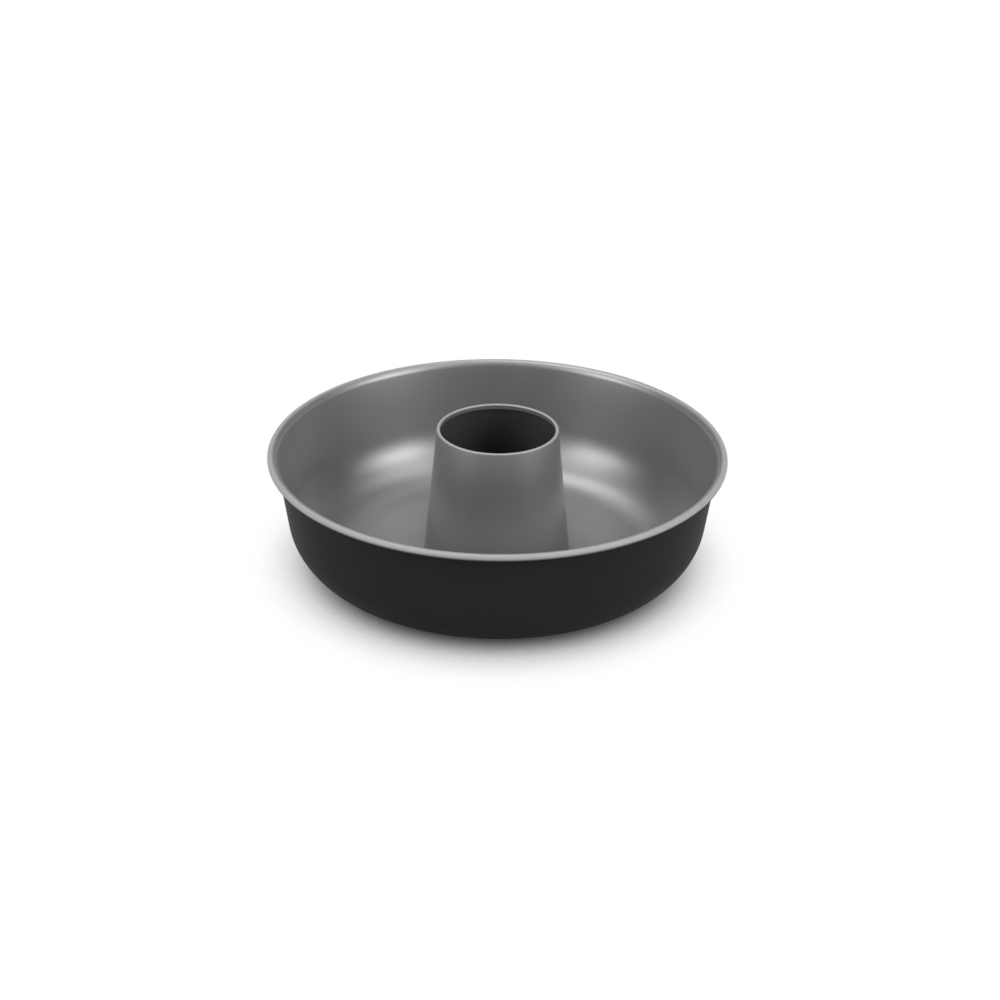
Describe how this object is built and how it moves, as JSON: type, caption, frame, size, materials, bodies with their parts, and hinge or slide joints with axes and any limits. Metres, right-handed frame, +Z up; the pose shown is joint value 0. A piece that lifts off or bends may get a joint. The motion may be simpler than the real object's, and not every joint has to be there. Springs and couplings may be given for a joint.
{
  "type": "ring cake pan with centre tube",
  "caption": "Round non-stick steel cake pan for angel food and ring cakes, with a rolled rim, a wide corner and a tall conical tube open at both ends in the middle.",
  "frame": {"origin": "on the axis of the pan, in the plane of the underside that it stands on", "axes": "+Z up along the axis of the pan; it is the same all round, so X and Y are free"},
  "size_m": [0.26, 0.26, 0.0805],
  "materials": {
    "pan_sheet": "coated steel sheet: satin black non-stick outside, satin grey non-stick inside and round the rim",
    "tube_sheet": "coated steel sheet: satin grey non-stick outside and over the top hem, satin black inside"
  },
  "bodies": {
    "root": {"pan_body": "pan_sheet", "centre_tube": "tube_sheet"}
  },
  "joints": []
}
